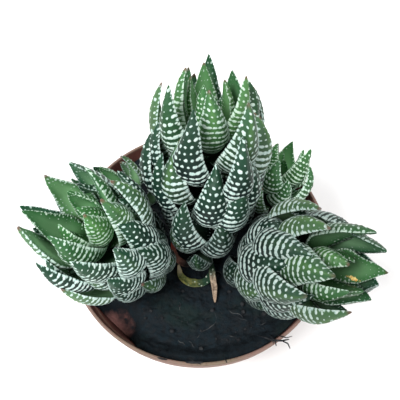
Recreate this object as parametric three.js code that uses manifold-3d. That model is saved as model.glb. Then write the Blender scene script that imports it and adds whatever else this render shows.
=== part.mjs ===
// Potted haworthia: three banded rosettes and two small offsets in a shallow plastic pot.
// Millimetres, +Z up. The origin is the centre of the pot's underside, and the rosettes show
// best from the side of -Y.
import * as THREE from "three";
import { mergeVertices } from "three/addons/utils/BufferGeometryUtils.js";
import Module from "manifold-3d";

const wasm = await Module();
wasm.setup();

// Pot: a shallow tapered pot with a raised lip and a row of drainage holes
const RIM_RADIUS = 60;
const POT_HEIGHT = 66;
const LIP_HEIGHT = 10;
const LIP_DRAW = 1.6;
const LIP_STEP = 1.5;
const BASE_RADIUS = 43;
const WALL = 1.6;
const EDGE_ROUND = 0.5;
const FLOOR = 2;
const DRAIN_COUNT = 6;
const DRAIN_RADIUS = 3;
const DRAIN_CIRCLE = 27;
const POT_SIDES = 40;

// Potting soil, banked up against the wall except for a pocket in front on the left
const SOIL_TOP = POT_HEIGHT - 12;
const SOIL_SIDES = 32;
const SOIL_SHARES = [0.88, 0.66, 0.44, 0.22]; // rings on its top, as shares of its radius
const SOIL_BANK = 5;
const GAP = 0.3;
const POCKET_ANGLE = THREE.MathUtils.degToRad(227);
const POCKET_SPREAD = 0.2;
const POCKET_DEPTH = 12;

// Stems and leaves
const GOLDEN_TURN = THREE.MathUtils.degToRad(137.508);
const STEM_SIDES = 6;
const STEM_STEPS = 5;
const LEAF_SHARES = [0, 0.16, 0.4, 0.7, 1]; // rings along a leaf
const CURVE_STEPS = 50;
const OUTLINE_PEAK = 0.72; // greatest value of the formula for a leaf's outline
const LEAF_THICKNESS = 0.375; // share of the width
const LEAF_EDGE = 0.3;
const KEEL = 1.15;
const RIDGE_SHARE = LEAF_SHARES[2];
const RIDGE_HEIGHT = 0.7;
const BEND_STEP = 0.07;
const BEND_TRIES = 12;
const CLEAR_OF_DIVIDE = 0.35;
const CLEAR_OF_SOIL = 1.4;
const CLEAR_OF_RIM = 0.6;
const OVER_SOIL = RIM_RADIUS - 13;
const OVER_RIM = RIM_RADIUS + 7;

// How leaves change up a stem: the lowest share is old and sags, the top share is young,
// smaller and upright. Lengths and widths are shares of a grown leaf's, angles are degrees.
const CROWDING = 1.25;
const OLD_UNTIL = 0.42;
const OLD_LENGTH = 0.62;
const OLD_WIDTH = 0.58;
const OLD_ROOT_SAG = 6;
const OLD_TIP_SAG = 22;
const YOUNG_FROM = 0.7;
const YOUNG_LENGTH = 0.52;
const YOUNG_WIDTH = 0.62;
const YOUNG_ROOT_ANGLE = 0.22; // share of a grown leaf's
const YOUNG_TIP_ANGLE = 3;

// How far leaves differ from the rule, from least to most
const TURN_SPREAD = 0.3;
const LENGTH_SPREAD = 0.26;
const WIDTH_SPREAD = 0.2;
const TIP_ANGLE_SPREAD = 22;
const ROLL_SPREAD = 0.3;

// Each stem runs in a curve from its foot in the soil by its bend to its top. Heights are
// above the rim. Angles are in degrees from the stem, first at a leaf's root, then at its tip.
const STEMS = {
  stem_centre: {
    foot: [3, 0, -18], bend: [5, 2, 16], top: [5, 23, 50],
    leaves: 54, length: 42.7, width: 15.5, rootAngle: 110, tipAngle: -12, curl: 1.8,
    core: 9.5, bare: 0.14, phase: 1.21, seed: 196, colour: 0x3f6b48,
  },
  stem_left: {
    foot: [-23, -3, -18], bend: [-34, -13, 8], top: [-42, -11, 24],
    leaves: 45, length: 40.1, width: 16.2, rootAngle: 106, tipAngle: 1, curl: 2.4,
    core: 9, bare: 0.14, phase: 1.32, seed: 208, colour: 0x3d6a50,
  },
  stem_right: {
    foot: [29, -5, -18], bend: [27, -12, 6], top: [46, -28, 29],
    leaves: 42, length: 40, width: 16.8, rootAngle: 114, tipAngle: -12, curl: 2.6,
    core: 9, bare: 0.14, phase: 3.06, seed: 22, colour: 0x426f4c,
  },
  stem_back_right: {
    foot: [31, 18, -18], bend: [34, 17, 2], top: [38, 28, 10],
    leaves: 23, length: 23.6, width: 9.9, rootAngle: 109, tipAngle: -10, curl: 1.8,
    core: 5.4, bare: 0.2, phase: -0.22, seed: 261, colour: 0x4a8450,
  },
  stem_back_left: {
    foot: [-26, 17, -18], bend: [-33, 17, 0], top: [-37, 18, 7],
    leaves: 16, length: 26, width: 8.6, rootAngle: 96, tipAngle: -8, curl: 1.8,
    core: 5.4, bare: 0.25, phase: -0.6, seed: 54, colour: 0x42704c,
  },
};

// Planes that neighbouring rosettes keep to their own side of: the first stem named stands on
// the side that the normal points to
const DIVIDES = [
  ["stem_centre", "stem_left", [-14.5, -2, 10], [1, 0.45, 0.2]],
  ["stem_centre", "stem_right", [19.5, -4, 10], [-1, 0.75, 0.2]],
  ["stem_centre", "stem_back_right", [23, 14, 10], [-1, -0.25, 0.25]],
  ["stem_centre", "stem_back_left", [-17, 14, 5], [1, -0.3, 0.25]],
  ["stem_left", "stem_back_left", [-26, 9, 5], [0, -1, 0.15]],
  ["stem_right", "stem_back_right", [32, 8, 5], [0, -1, 0.2]],
  ["stem_left", "stem_right", [3, -20, 0], [-1, 0, 0]],
];

// Withered leaves round the foot of the middle stem, as points of [x, y, height above the soil]
const WITHERED = {
  withered_leaf_red: {
    points: [[-2, -9, 0.7], [-7, -9, 1], [-11, -6, 2.4], [-13, 0.4, 7]],
    width: 3.6, colour: 0x8a5548,
  },
  withered_leaf_curled: {
    points: [[7, -12.5, 0.8], [3, -17.8, 0.6], [-4, -18.6, 0.7], [-8.6, -15.2, 1.8], [-9.6, -10.5, 3.2]],
    width: 4, colour: 0x7c8148,
  },
  withered_leaf_tan: {
    points: [[5.5, -9, 5.3], [6, -15, 4.8], [7, -22, 2.9], [7.3, -28, 0.5]],
    width: 3, colour: 0xa88d72,
  },
};
const WITHERED_STEPS = 9;
const WITHERED_THICKNESS = 0.7;
const WITHERED_ROOM = 4.5;

function clamp01(x) {
  return Math.min(Math.max(x, 0), 1);
}

function smooth(from, to, x) {
  const t = clamp01((x - from) / (to - from));
  return t * t * (3 - 2 * t);
}

// A repeatable number from 0 to 1: draw k of leaf i
function draw(seed, i, k) {
  const x = Math.sin(seed * 12.9898 + i * 78.233 + k * 37.719) * 43758.5453;
  return x - Math.floor(x);
}

function material(colour, roughness) {
  return new THREE.MeshStandardMaterial({ color: colour, roughness, metalness: 0 });
}

function aboveRim([x, y, z]) {
  return new THREE.Vector3(x, y, z + POT_HEIGHT);
}

// A closed surface from rings of points: side faces between the rings and a fan on each end
function closedRings(rings) {
  const count = rings[0].length;
  const last = rings.length - 1;
  const index = [];
  for (let r = 0; r < last; r++) {
    for (let j = 0; j < count; j++) {
      const a = r * count + j;
      const b = r * count + ((j + 1) % count);
      index.push(a, b, b + count, a, b + count, a + count);
    }
  }
  for (let j = 1; j < count - 1; j++) {
    index.push(0, j + 1, j);
    index.push(last * count, last * count + j, last * count + j + 1);
  }
  const geometry = new THREE.BufferGeometry().setFromPoints(rings.flat());
  geometry.setIndex(index);
  return geometry;
}

function solid(geometry) {
  const bare = geometry.index ? geometry : mergeVertices(geometry);
  bare.deleteAttribute("normal");
  bare.deleteAttribute("uv");
  const merged = mergeVertices(bare, 1e-3);
  return new wasm.Manifold(
    new wasm.Mesh({
      numProp: 3,
      vertProperties: merged.attributes.position.array,
      triVerts: new Uint32Array(merged.index.array),
    }),
  );
}

function geometryOf(body) {
  const mesh = body.getMesh();
  const geometry = new THREE.BufferGeometry();
  geometry.setAttribute("position", new THREE.BufferAttribute(mesh.vertProperties, 3));
  geometry.setIndex(new THREE.BufferAttribute(mesh.triVerts, 1));
  geometry.computeVertexNormals();
  return geometry;
}

function named(name, geometry, look) {
  const mesh = new THREE.Mesh(geometry, look);
  mesh.name = name;
  return mesh;
}

// A profile of [radius, height] pairs turned about Z
function turned(profile, sides) {
  const points = profile.map(([r, z]) => new THREE.Vector2(r, z));
  return new THREE.LatheGeometry(points, sides).rotateX(Math.PI / 2);
}

// Inner face of the pot's wall under the lip, as a radius at a height
function wallInside(z) {
  const share = z / (POT_HEIGHT - LIP_HEIGHT);
  const outside = BASE_RADIUS + share * (RIM_RADIUS - LIP_DRAW - LIP_STEP - BASE_RADIUS);
  return outside - WALL;
}

function pot() {
  const lipFoot = POT_HEIGHT - LIP_HEIGHT;
  const wallTop = RIM_RADIUS - LIP_DRAW - LIP_STEP;
  const body = solid(turned([
    [0, 0],
    [BASE_RADIUS - 1, 0],
    [BASE_RADIUS, 1],
    [wallTop, lipFoot],
    [RIM_RADIUS - LIP_DRAW, lipFoot],
    [RIM_RADIUS, POT_HEIGHT - EDGE_ROUND],
    [RIM_RADIUS - EDGE_ROUND, POT_HEIGHT],
    [RIM_RADIUS - WALL + EDGE_ROUND / 2, POT_HEIGHT],
    [RIM_RADIUS - WALL, POT_HEIGHT - EDGE_ROUND],
    [RIM_RADIUS - LIP_DRAW - WALL, lipFoot],
    [wallTop - WALL, lipFoot - LIP_STEP],
    [wallInside(FLOOR), FLOOR],
    [0, FLOOR],
  ], POT_SIDES));
  return named("pot", geometryOf(drained(body)), material(0xa58478, 0.75));
}

function drained(body) {
  let cut = body;
  for (let i = 0; i < DRAIN_COUNT; i++) {
    const angle = ((i + 0.5) / DRAIN_COUNT) * 2 * Math.PI;
    const hole = new THREE.CylinderGeometry(DRAIN_RADIUS, DRAIN_RADIUS, FLOOR * 3, 16)
      .rotateX(Math.PI / 2)
      .translate(DRAIN_CIRCLE * Math.cos(angle), DRAIN_CIRCLE * Math.sin(angle), FLOOR / 2);
    cut = cut.subtract(solid(hole));
  }
  return cut;
}

// Height of the soil: low mounds and crumbs, the bank along the wall, and the pocket in it
function soilHeight(x, y) {
  const mound = 0.7 * Math.sin(x / 9 + 1.3) * Math.cos(y / 11 - 0.4);
  const crumbs = 0.35 * Math.sin(x / 2.7 + y / 4.1) * Math.sin(y / 3.3 - x / 5.9);
  const reach = Math.hypot(x, y) / wallInside(SOIL_TOP);
  const away = (Math.atan2(y, x) + 2 * Math.PI) % (2 * Math.PI) - POCKET_ANGLE;
  const pocket = Math.exp(-((away / POCKET_SPREAD) ** 2)) * smooth(0.72, 1, reach);
  const bank = smooth(SOIL_SHARES[0], 1, reach);
  return SOIL_TOP + (mound + crumbs) * smooth(0, 0.2, reach) + SOIL_BANK * bank - POCKET_DEPTH * pocket;
}

// Soil: a plug the shape of the pot's inside, with plain holes for the stems
function soil() {
  const rings = [];
  const ring = (radius, height) => {
    const points = [];
    for (let j = 0; j < SOIL_SIDES; j++) {
      const angle = (j / SOIL_SIDES) * 2 * Math.PI;
      const x = Math.cos(angle);
      const y = Math.sin(angle);
      const z = height(x, y);
      const r = radius(z);
      points.push(new THREE.Vector3(r * x, r * y, z));
    }
    return points;
  };
  const fit = (z) => wallInside(z) - GAP / Math.cos(Math.PI / SOIL_SIDES) - 0.1;
  const bottom = FLOOR + GAP;
  rings.push(ring(() => 1, () => bottom));
  rings.push(ring(fit, () => bottom));
  const edge = fit(SOIL_TOP);
  rings.push(ring(fit, (x, y) => soilHeight(edge * x, edge * y)));
  for (const share of SOIL_SHARES) {
    const r = edge * share;
    rings.push(ring(() => r, (x, y) => soilHeight(r * x, r * y)));
  }
  rings.push(ring(() => 1, () => SOIL_TOP));
  let body = solid(closedRings(rings));
  for (const stem of Object.values(STEMS)) {
    body = body.subtract(solid(stemTube(stem, GAP * 1.2, GAP)));
  }
  return named("soil", geometryOf(body), material(0x1c2128, 0.95));
}

// Point and directions on a stem's curve: along it, and two across it
function axisAt(stem, s) {
  const [foot, bend, top] = [stem.foot, stem.bend, stem.top].map(aboveRim);
  const point = foot.clone().multiplyScalar((1 - s) ** 2);
  point.addScaledVector(bend, 2 * s * (1 - s)).addScaledVector(top, s * s);
  const along = bend.clone().sub(foot).multiplyScalar(1 - s);
  along.addScaledVector(top.clone().sub(bend), s).normalize();
  const first = new THREE.Vector3(1, 0, 0).addScaledVector(along, -along.x).normalize();
  const second = along.clone().cross(first);
  return { point, along, first, second };
}

// The stem is slim in the soil, full among its leaves and slim again at its top
function coreRadius(stem, s) {
  return stem.core * (0.55 + 0.45 * smooth(0, 0.2, s)) * (1 - 0.55 * s * s);
}

// The stem itself, or with some extra the hole that it stands in
function stemTube(stem, extra = 0, deeper = 0) {
  const rings = [];
  for (let k = 0; k <= STEM_STEPS; k++) {
    const s = k / STEM_STEPS;
    const { point, along, first, second } = axisAt(stem, s);
    if (k === 0) point.addScaledVector(along, -deeper);
    const radius = coreRadius(stem, s) + extra;
    const ring = [];
    for (let j = 0; j < STEM_SIDES; j++) {
      const angle = (j / STEM_SIDES) * 2 * Math.PI;
      ring.push(point.clone()
        .addScaledVector(first, radius * Math.cos(angle))
        .addScaledVector(second, radius * Math.sin(angle)));
    }
    rings.push(ring);
  }
  return closedRings(rings);
}

// Leaf i of a stem, from 0 at the oldest: where it grows, its size and its angles
function leafOf(stem, i) {
  const age = i / (stem.leaves - 1);
  const young = clamp01((age - YOUNG_FROM) / (1 - YOUNG_FROM));
  const old = clamp01(1 - age / OLD_UNTIL);
  const mix = (from, to, share) => from + (to - from) * share;
  const stray = (k, spread) => spread * (draw(stem.seed, i, k) - 0.5);
  const rootAngle = stem.rootAngle * mix(1, YOUNG_ROOT_ANGLE, young) + OLD_ROOT_SAG * old;
  const tipAngle = mix(stem.tipAngle, YOUNG_TIP_ANGLE, young) + OLD_TIP_SAG * old
    + stray(4, TIP_ANGLE_SPREAD);
  return {
    s: mix(stem.bare, 1, 1 - (1 - age) ** CROWDING),
    turn: stem.phase + i * GOLDEN_TURN + stray(1, TURN_SPREAD),
    length: stem.length * mix(1, YOUNG_LENGTH, young ** 2) * mix(1, OLD_LENGTH, old)
      * (1 + stray(2, LENGTH_SPREAD)),
    width: stem.width * mix(1, YOUNG_WIDTH, young ** 1.5) * mix(1, OLD_WIDTH, old)
      * (1 + stray(3, WIDTH_SPREAD)),
    rootAngle: THREE.MathUtils.degToRad(rootAngle),
    tipAngle: THREE.MathUtils.degToRad(tipAngle),
    roll: stray(5, ROLL_SPREAD),
  };
}

// Rings of three points along a leaf: margin, keel of the back, margin.
// The leaf leaves the stem at its root angle and curls in to its tip angle, and a bend
// brings both angles in and shortens it.
function leafRings(stem, leaf, bend) {
  const { point, along, first, second } = axisAt(stem, leaf.s);
  const out = first.clone().multiplyScalar(Math.cos(leaf.turn));
  out.addScaledVector(second, Math.sin(leaf.turn));
  const across = first.clone().multiplyScalar(-Math.sin(leaf.turn));
  across.addScaledVector(second, Math.cos(leaf.turn));
  const root = leaf.rootAngle * (1 - bend);
  const tip = leaf.tipAngle * (1 - bend);
  const angleAt = (t) => tip + (root - tip) * (1 - t) ** stem.curl;
  const step = (leaf.length * (1 - 0.35 * bend)) / CURVE_STEPS;
  const spot = point.clone().addScaledVector(out, 0.75 * coreRadius(stem, leaf.s));
  const rings = [];
  let done = 0;
  for (const t of LEAF_SHARES) {
    for (; done < Math.round(t * CURVE_STEPS); done++) {
      const angle = angleAt((done + 0.5) / CURVE_STEPS);
      spot.addScaledVector(out, Math.sin(angle) * step);
      spot.addScaledVector(along, Math.cos(angle) * step);
    }
    const back = out.clone().multiplyScalar(Math.cos(angleAt(t)));
    back.addScaledVector(along, -Math.sin(angleAt(t)));
    const side = across.clone().multiplyScalar(Math.cos(leaf.roll));
    side.addScaledVector(back, Math.sin(leaf.roll));
    const face = back.clone().multiplyScalar(Math.cos(leaf.roll));
    face.addScaledVector(across, -Math.sin(leaf.roll));
    rings.push(leafSection(leaf, t).map(([u, depth]) =>
      spot.clone().addScaledVector(side, u).addScaledVector(face, depth)));
  }
  return rings;
}

// Cross-section of a leaf at share t of its length, as [sideways, towards the back] pairs: a flat
// upper face and a keeled back, which is lifted into a ridge across it at the leaf's widest.
// The leaf clasps the stem, is widest below its middle and tapers to a point.
function leafSection(leaf, t) {
  const filled = smooth(0, 0.45, t);
  const outline = (1 - t ** 1.7) ** 1.1 * (0.38 + 0.62 * filled);
  const half = (leaf.width / 2) * (outline / OUTLINE_PEAK) + LEAF_EDGE;
  const thick = leaf.width * LEAF_THICKNESS * (1 - t ** 2.2) * (0.3 + 0.7 * filled) + 2 * LEAF_EDGE;
  const back = thick + (t === RIDGE_SHARE ? RIDGE_HEIGHT : 0);
  return [
    [-half, 0],
    [0, KEEL * back],
    [half, 0],
  ];
}

// The corners of a leaf past its root, the points halfway between its rings, and the rings' centres
function leafPoints(rings) {
  const past = rings.slice(1);
  const halfway = past.flatMap((ring, k) => ring.map((p, j) => p.clone().lerp(rings[k][j], 0.5)));
  const centres = past.map((ring) =>
    ring.reduce((sum, p) => sum.add(p), new THREE.Vector3()).divideScalar(ring.length));
  return [...past.flat(), ...halfway, ...centres];
}

// True where a leaf keeps clear of its stem's dividing planes, the soil, the pot and the
// withered leaves
function isClear(name, rings) {
  return leafPoints(rings).every((p) => {
    const reach = Math.hypot(p.x, p.y);
    if (reach < OVER_SOIL && p.z < SOIL_TOP + CLEAR_OF_SOIL) return false;
    if (reach >= OVER_SOIL && reach < OVER_RIM && p.z < POT_HEIGHT + CLEAR_OF_RIM) return false;
    if (WITHERED_POINTS.some((q) => q.distanceTo(p) < WITHERED_ROOM)) return false;
    return DIVIDES.every(([near, far, point, normal]) => {
      if (name !== near && name !== far) return true;
      const direction = new THREE.Vector3(...normal).normalize();
      const height = p.clone().sub(aboveRim(point)).dot(direction);
      return (name === near ? height : -height) > CLEAR_OF_DIVIDE;
    });
  });
}

// A withered leaf: a thin blade with its edges rolled up, along a curve through its points
function witheredCurve({ points }) {
  return new THREE.CatmullRomCurve3(points.map(([x, y, z]) => new THREE.Vector3(x, y, z + SOIL_TOP)));
}

function witheredLeaf(name) {
  const leaf = WITHERED[name];
  const curve = witheredCurve(leaf);
  const up = new THREE.Vector3(0, 0, 1);
  const rings = [];
  for (let k = 0; k <= WITHERED_STEPS; k++) {
    const t = k / WITHERED_STEPS;
    const centre = curve.getPoint(t);
    const side = curve.getTangent(t).cross(up).normalize();
    const half = (leaf.width / 2) * (0.22 + 0.78 * Math.sin(Math.PI * (0.15 + 0.85 * t)) ** 0.8);
    const roll = 0.35 * half;
    const thin = WITHERED_THICKNESS / 2;
    const section = [
      [-half, roll + thin], [0, thin], [half, roll + thin],
      [half, roll - thin], [0, -thin], [-half, roll - thin],
    ];
    rings.push(section.map(([u, v]) => centre.clone().addScaledVector(side, u).addScaledVector(up, v)));
  }
  return named(name, geometryOf(solid(closedRings(rings))), material(leaf.colour, 0.8));
}

function leafyStem(name) {
  const stem = STEMS[name];
  let body = solid(stemTube(stem));
  for (let i = 0; i < stem.leaves; i++) {
    const leaf = leafOf(stem, i);
    for (let k = 0; k < BEND_TRIES; k++) {
      const rings = leafRings(stem, leaf, k * BEND_STEP);
      if (isClear(name, rings)) {
        body = body.add(solid(closedRings(rings)));
        break;
      }
    }
  }
  return named(name, geometryOf(largestShell(body)), material(stem.colour, 0.55));
}

// A body without the small hollows that its leaves seal in among them
function largestShell(body) {
  return body.decompose().reduce((most, shell) => (shell.volume() > most.volume() ? shell : most));
}

const WITHERED_POINTS = Object.values(WITHERED).flatMap((leaf) =>
  witheredCurve(leaf).getPoints(WITHERED_STEPS));

const group = new THREE.Group();
group.add(pot());
group.add(soil());
for (const name of Object.keys(STEMS)) {
  group.add(leafyStem(name));
}
for (const name of Object.keys(WITHERED)) {
  group.add(witheredLeaf(name));
}
export default group;
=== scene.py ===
import math

import bpy
import numpy as np
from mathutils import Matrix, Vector


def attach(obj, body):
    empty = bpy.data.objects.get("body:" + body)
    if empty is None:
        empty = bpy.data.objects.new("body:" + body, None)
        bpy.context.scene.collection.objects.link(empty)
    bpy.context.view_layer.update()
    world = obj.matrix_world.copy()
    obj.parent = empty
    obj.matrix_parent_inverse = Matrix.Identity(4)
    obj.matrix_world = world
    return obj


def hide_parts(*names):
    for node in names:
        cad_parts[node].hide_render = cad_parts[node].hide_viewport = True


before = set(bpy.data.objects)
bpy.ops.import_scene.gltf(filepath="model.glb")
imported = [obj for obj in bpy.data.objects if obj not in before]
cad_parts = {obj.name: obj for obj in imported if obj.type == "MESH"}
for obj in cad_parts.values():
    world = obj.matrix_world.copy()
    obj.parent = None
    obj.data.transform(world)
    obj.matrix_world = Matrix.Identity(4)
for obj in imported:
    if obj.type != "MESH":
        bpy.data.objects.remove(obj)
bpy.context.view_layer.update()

MM = 0.001
BODY = "root"
HASH_SCALE = 43758.5453  # so large that the fraction left of a sine times it looks random

# Pot
RIM_RADIUS = 60.0
POT_HEIGHT = 66.0
LIP_HEIGHT = 10.0
LIP_DRAW = 1.6
LIP_STEP = 1.5
LIP_FOOT = POT_HEIGHT - LIP_HEIGHT
WALL_TOP = RIM_RADIUS - LIP_DRAW - LIP_STEP
BASE_RADIUS = 43.0
WALL = 1.6
EDGE_ROUND = 0.5
CORNER_ROUND = 0.8
BASE_CHAMFER = 1
FLOOR = 2.0
DRAIN_COUNT = 6
DRAIN_RADIUS = 3.0
DRAIN_CIRCLE = 27.0
DRAIN_SIDES = 32
DRILL_FOOT = -2.0
DRILL_TOP = 4.0
POT_SIDES = 192
CORNER_STEPS = 4

# Potting soil
SOIL_TOP = POT_HEIGHT - 12
SOIL_GAP = 0.4
SOIL_SIDES = 288
SOIL_RINGS = 105
SOIL_BANK = 5.0
SOIL_BANK_FROM = 0.88
POCKET_ANGLE = math.radians(227)
POCKET_SPREAD = 0.2
POCKET_DEPTH = 12.0
# Painted light: a bright red-brown patch on the soil in the pocket, standing in for the lit inner wall
LIT_WALL_PATCH_PLACE = (-37.5, -38.5, 52.0)
LIT_WALL_PATCH_REACH = 10.5

# Loose litter: root fibres and crumbs on the soil, and twigs that lie across the rim, as points
# of (x, y, height above the rim) with a radius
LITTER_SEED = 9
FIBRE_COUNT = 34
FIBRE_RADIUS = 0.17
CRUMB_COUNT = 200
CRUMB_SIDES = 7
LITTER_REACH = 50.0
THREAD_SIDES = 6
RIM_TWIGS = [
    (0.45, ((25.5, -45, -6.2), (29, -47.6, -2), (31.7, -49.3, 0.5), (35, -49.6, 0.7), (38.2, -49, 0.9))),
    (0.3, ((35, -49.6, 0.7), (37.6, -50.6, 0.3), (38.6, -52.4, -1.2))),
    (0.35, ((30.5, -44.6, -6.4), (31.4, -47.6, -1.6), (32.2, -49.6, 0.9), (32.6, -51.8, 0.4))),
    (0.25, ((33.4, -45.2, -4), (34.6, -47.6, 0.7), (37, -48.6, 1.6), (39.4, -48, 2))),
    (0.22, ((29.4, -47.9, -1), (31.2, -49.8, 1), (31.4, -50.9, 1))),
    (0.4, ((-17.4, -56.6, 0.2), (-15.4, -57.2, 0.4), (-13.4, -57.5, 0.3))),
    (0.55, ((-5.6, -58.5, 0.3), (-2.4, -58.7, 0.6), (1.6, -58.6, 0.3))),
    (0.2, ((-3.4, -57.6, 0.2), (-1.2, -58.8, 0.9), (0.8, -59.5, 0.5))),
    (0.18, ((10.6, -56.4, -1.4), (11.2, -57.8, 0.3), (11.6, -58.9, 0.2))),
]

# Leaves: the same rule as the solids
GOLDEN_TURN = math.radians(137.508)
LEAF_SHARES = np.array([0, 0.16, 0.4, 0.7, 1])
CURVE_STEPS = 50
OUTLINE_PEAK = 0.72
LEAF_THICKNESS = 0.375
LEAF_EDGE = 0.3
LEAF_FOOT = 0.75  # where a leaf starts in its stem, as a share of the stem's radius
KEEL = 1.15
RIDGE_SHARE = LEAF_SHARES[2]
RIDGE_HEIGHT = 0.7
BEND_STEP = 0.07
BEND_TRIES = 12
BEND_SHORTENS = 0.35
CLEAR_OF_DIVIDE = 0.35
CLEAR_OF_SOIL = 1.4
CLEAR_OF_RIM = 0.6
OVER_SOIL = RIM_RADIUS - 13
OVER_RIM = RIM_RADIUS + 7
CROWDING = 1.25
OLD_UNTIL = 0.42
OLD_LENGTH = 0.62
OLD_WIDTH = 0.58
OLD_ROOT_SAG = 6
OLD_TIP_SAG = 22
YOUNG_FROM = 0.7
YOUNG_LENGTH = 0.52
YOUNG_WIDTH = 0.62
YOUNG_ROOT_ANGLE = 0.22
YOUNG_TIP_ANGLE = 3
TURN_SPREAD = 0.3
LENGTH_SPREAD = 0.26
WIDTH_SPREAD = 0.2
TIP_ANGLE_SPREAD = 22
ROLL_SPREAD = 0.3

# Fine surface of a leaf: white bands of tubercles across its back. The pitches are those of a leaf
# of the usual length, and others grow with the square root of their length.
USUAL_LENGTH = 38
BAND_PITCH_ROOT = 1.7
BAND_PITCH_TIP = 2.5
BAND_WIDTH = 0.28
DOT_PITCH = 1.9
DOT_WIDTH = 0.325
BEADED_ROOT = 0.25  # how much an unbroken band still swells and narrows along its run
BEADED_MIDDLE = 0.5
ROW_SHIFT = 0.3
ROW_TURN = 2.4
ROWS_PER_LEAF = 13
ROWS_PER_BAND = 4
BACK_COLUMNS = 16
FACE_COLUMNS = 5
TUBERCLE_HEIGHT = 0.3
MARGIN_HEIGHT = 0.34
SWAY = 1.3  # how far a leaf's tip may lean to a side
LEAF_CHANNELS = ("bands", "skin", "leaf")  # three numbers each, kept on a point for its colour
TIP_CAP_FROM = 0.965  # the share of its length past which a leaf rounds off to its tip
TIP_CAP_RUN = 0.036
SCAR_REACH = 1.9  # a dry mark: half its width, the way it runs and how much it is drawn out
SCAR_RUN = (0.56, -0.54, 0.63)
SCAR_STRETCH = 0.92

# Each stem runs in a curve from its foot in the soil by its bend to its top. Heights are
# above the rim, and angles are degrees from the stem. A rosette's shade is painted light and
# shade, making the skin of the whole rosette lighter or darker for how the light falls on it,
# and banded is how much nearer to their tips its leaves keep unbroken bands.
STEMS = {
    "stem_centre": dict(
        foot=(3, 0, -18), bend=(5, 2, 16), top=(5, 23, 50),
        leaves=54, length=42.7, width=15.5, root_angle=110, tip_angle=-12, curl=1.8,
        core=9.5, bare=0.14, phase=1.21, seed=196, slot="leaves", fresh=0.0, shade=1.0, banded=0.03),
    "stem_left": dict(
        foot=(-23, -3, -18), bend=(-34, -13, 8), top=(-42, -11, 24),
        leaves=45, length=40.1, width=16.2, root_angle=106, tip_angle=1, curl=2.4,
        core=9, bare=0.14, phase=1.32, seed=208, slot="leaves", fresh=0.0, shade=1.2, banded=0.15),
    "stem_right": dict(
        foot=(29, -5, -18), bend=(27, -12, 6), top=(46, -28, 29),
        leaves=42, length=40, width=16.8, root_angle=114, tip_angle=-12, curl=2.6,
        core=9, bare=0.14, phase=3.06, seed=22, slot="leaves", fresh=0.0, shade=0.65, banded=0.12,
        scar=(60.6, -33.9, 97.2)),
    "stem_back_right": dict(
        foot=(31, 18, -18), bend=(34, 17, 2), top=(38, 28, 10),
        leaves=23, length=23.6, width=9.9, root_angle=109, tip_angle=-10, curl=1.8,
        core=5.4, bare=0.2, phase=-0.22, seed=261, slot="young_leaves", fresh=0.6,
        shade=1.3, banded=0.1),
    "stem_back_left": dict(
        foot=(-26, 17, -18), bend=(-33, 17, 0), top=(-37, 18, 7),
        leaves=16, length=26, width=8.6, root_angle=96, tip_angle=-8, curl=1.8,
        core=5.4, bare=0.25, phase=-0.6, seed=54, slot="leaves", fresh=0.2, shade=1.0, banded=0.0),
}
STEM_SIDES = 40
STEM_RINGS = 24

# Planes that neighbouring rosettes keep to their own side of, as in the solids
DIVIDES = [
    ("stem_centre", "stem_left", (-14.5, -2, 10), (1, 0.45, 0.2)),
    ("stem_centre", "stem_right", (19.5, -4, 10), (-1, 0.75, 0.2)),
    ("stem_centre", "stem_back_right", (23, 14, 10), (-1, -0.25, 0.25)),
    ("stem_centre", "stem_back_left", (-17, 14, 5), (1, -0.3, 0.25)),
    ("stem_left", "stem_back_left", (-26, 9, 5), (0, -1, 0.15)),
    ("stem_right", "stem_back_right", (32, 8, 5), (0, -1, 0.2)),
    ("stem_left", "stem_right", (3, -20, 0), (-1, 0, 0)),
]

# Withered leaves, as points of (x, y, height above the soil), with the screen colours of their foot,
# folds, skin and tip, and the share of their white dots that still shows
WITHERED = {
    "withered_leaf_red": dict(
        points=((-2, -9, 0.7), (-7, -9, 1), (-11, -6, 2.4), (-13, 0.4, 7)),
        width=3.6, slot="withered_red", dots=0,
        colours=((52, 46, 44), (110, 76, 66), (158, 116, 100), (226, 108, 90))),
    "withered_leaf_curled": dict(
        points=((7, -12.5, 0.8), (3, -17.8, 0.6), (-4, -18.6, 0.7), (-8.6, -15.2, 1.8), (-9.6, -10.5, 3.2)),
        width=4, slot="withered_green", dots=0.8,
        colours=((34, 62, 44), (66, 80, 42), (138, 134, 74), (190, 176, 146))),
    "withered_leaf_tan": dict(
        points=((5.5, -9, 5.3), (6, -15, 4.8), (7, -22, 2.9), (7.3, -28, 0.5)),
        width=3, slot="withered_tan", dots=0.7,
        colours=((40, 66, 46), (104, 88, 74), (178, 158, 136), (150, 128, 108))),
}
WITHERED_STEPS = 9
WITHERED_ROWS = 70
WITHERED_COLUMNS = 14
WITHERED_THICKNESS = 0.7
WITHERED_ROOM = 4.5

# Camera: in front and above, the plant filling the frame as in the photograph
CAMERA_PLACE = (0.4, -124.6, POT_HEIGHT + 250.8)
CAMERA_PITCH = math.radians(29.9)
CAMERA_LENS = 54.0
CAMERA_SENSOR = 36.0

# Light, in metres and watts
FLOOR_HALF = 3.0
LAMP_TARGET = Vector((0, 0, 0.09))
SURROUND_STRENGTH = 0.46


def clamp01(x):
    return np.clip(x, 0.0, 1.0)


def smooth(start, end, x):
    """0 up to start and 1 from end on, with three squares less two cubes of the share between."""
    t = clamp01((np.asarray(x, float) - start) / (end - start))
    return t * t * (3 - 2 * t)


def mix(start, end, share):
    return start + (end - start) * share


def draw(seed, i, k):
    """The fractional part of a large sine: a repeatable number from 0 to 1."""
    x = math.sin(seed * 12.9898 + i * 78.233 + k * 37.719) * HASH_SCALE
    return x - math.floor(x)


def lattice(cells, seed):
    """A repeatable number from 0 to 1 for each whole-numbered cell, from a large sine."""
    x = np.sin(cells @ np.array([127.1, 311.7, 74.7][:cells.shape[-1]]) + seed * 19.19) * HASH_SCALE
    return x - np.floor(x)


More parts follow.
